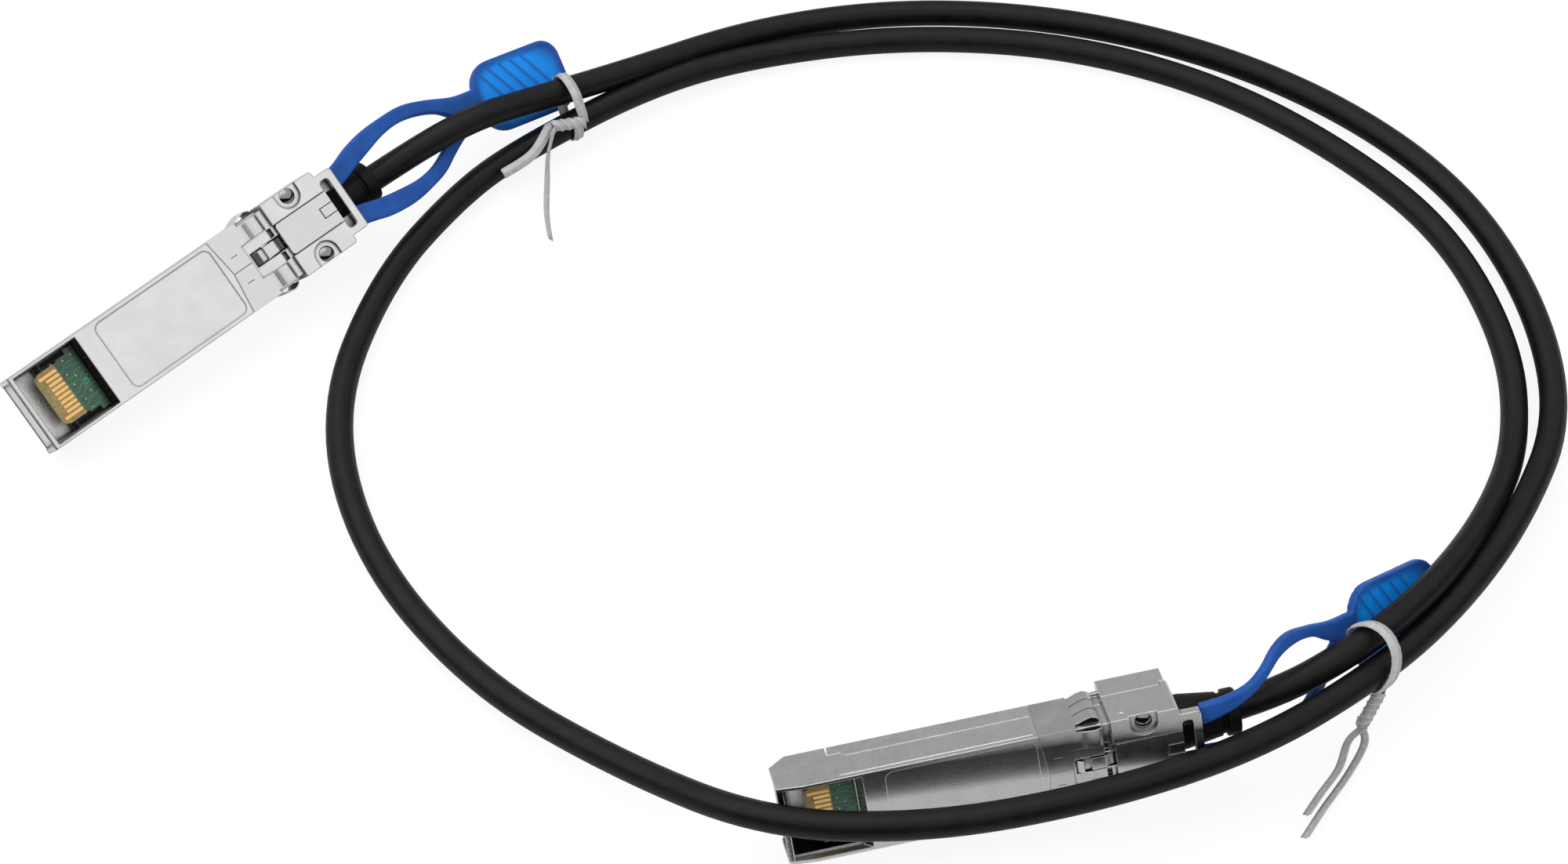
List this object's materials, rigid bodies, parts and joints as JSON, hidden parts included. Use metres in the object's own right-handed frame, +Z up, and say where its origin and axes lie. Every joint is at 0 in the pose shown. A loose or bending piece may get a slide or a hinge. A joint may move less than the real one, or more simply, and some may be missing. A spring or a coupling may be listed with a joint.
{
  "type": "direct attach copper cable",
  "caption": "Coiled direct attach copper cable with a latching metal plug and a blue pull tab at each end, tied in two places.",
  "frame": {"origin": "centre of the laid-out assembly's footprint, on the surface it lies on, measured without the cable and ties", "axes": "+X along the longer side of the coil, from plug A towards the far bend; +Y away from the side plug B lies on; +Z up"},
  "size_m": [0.2478, 0.1694, 0.0205],
  "materials": {
    "zinc_casting": "satin",
    "board_resist": "gloss",
    "gold_pads": "polished",
    "chip_resin": "matte",
    "spring_steel": "satin",
    "latch_steel": "satin",
    "pin_steel": "polished",
    "tab_rubber": "satin",
    "screw_steel": "polished",
    "boot_rubber": "matte",
    "brass_crimp": "satin",
    "wire_insulation": "satin",
    "jacket_pvc": "satin",
    "tie_film": "satin"
  },
  "bodies": {
    "fixed": {"plug_a_base": "zinc_casting", "plug_a_cover": "zinc_casting", "plug_a_board": "board_resist", "plug_a_contacts": "gold_pads", "plug_a_chip": "chip_resin", "plug_a_collar": "spring_steel", "plug_a_pivot_pin": "pin_steel", "plug_a_spring": "pin_steel", "plug_a_screws": "screw_steel", "plug_a_boot": "boot_rubber", "plug_a_ferrule": "brass_crimp", "plug_a_wires": "wire_insulation", "plug_b_base": "zinc_casting", "plug_b_cover": "zinc_casting", "plug_b_board": "board_resist", "plug_b_contacts": "gold_pads", "plug_b_chip": "chip_resin", "plug_b_collar": "spring_steel", "plug_b_pivot_pin": "pin_steel", "plug_b_spring": "pin_steel", "plug_b_screws": "screw_steel", "plug_b_boot": "boot_rubber", "plug_b_ferrule": "brass_crimp", "plug_b_wires": "wire_insulation", "cable": "jacket_pvc", "tie_1": "tie_film", "tie_2": "tie_film"},
    "pull_a": {"plug_a_slide": "latch_steel", "plug_a_pull_tab": "tab_rubber"},
    "latch_a": {"plug_a_latch": "latch_steel"},
    "pull_b": {"plug_b_slide": "latch_steel", "plug_b_pull_tab": "tab_rubber"},
    "latch_b": {"plug_b_latch": "latch_steel"}
  },
  "joints": [
    {"name": "pull_slide_a", "type": "slide", "parent": "fixed", "child": "pull_a", "axis": [0.748, 0.662, 0.048], "range_m": [0, 0.0015], "stiffness_N_per_m": 1500, "springref_m": -0.0005, "deforming": ["plug_a_spring"]},
    {"name": "latch_rock_a", "type": "hinge", "parent": "fixed", "child": "latch_a", "pos_m": [-0.06733, 0.03208, 0.01213], "axis": [0.5526, -0.5811, -0.5975], "range_deg": [0, 5.5]},
    {"name": "pull_slide_b", "type": "slide", "parent": "fixed", "child": "pull_b", "axis": [0.9785, 0.1911, 0.0781], "range_m": [0, 0.0015], "stiffness_N_per_m": 1500, "springref_m": -0.0005, "deforming": ["plug_b_spring"]},
    {"name": "latch_rock_b", "type": "hinge", "parent": "fixed", "child": "latch_b", "pos_m": [0.06157, -0.06371, 0.01302], "axis": [0.1551, -0.4308, -0.889], "range_deg": [0, 5.5]}
  ],
  "couplings": [
    {"joint": "latch_rock_a", "follows": "pull_slide_a", "rad_per_m": 63.9},
    {"joint": "latch_rock_b", "follows": "pull_slide_b", "rad_per_m": 63.9}
  ]
}
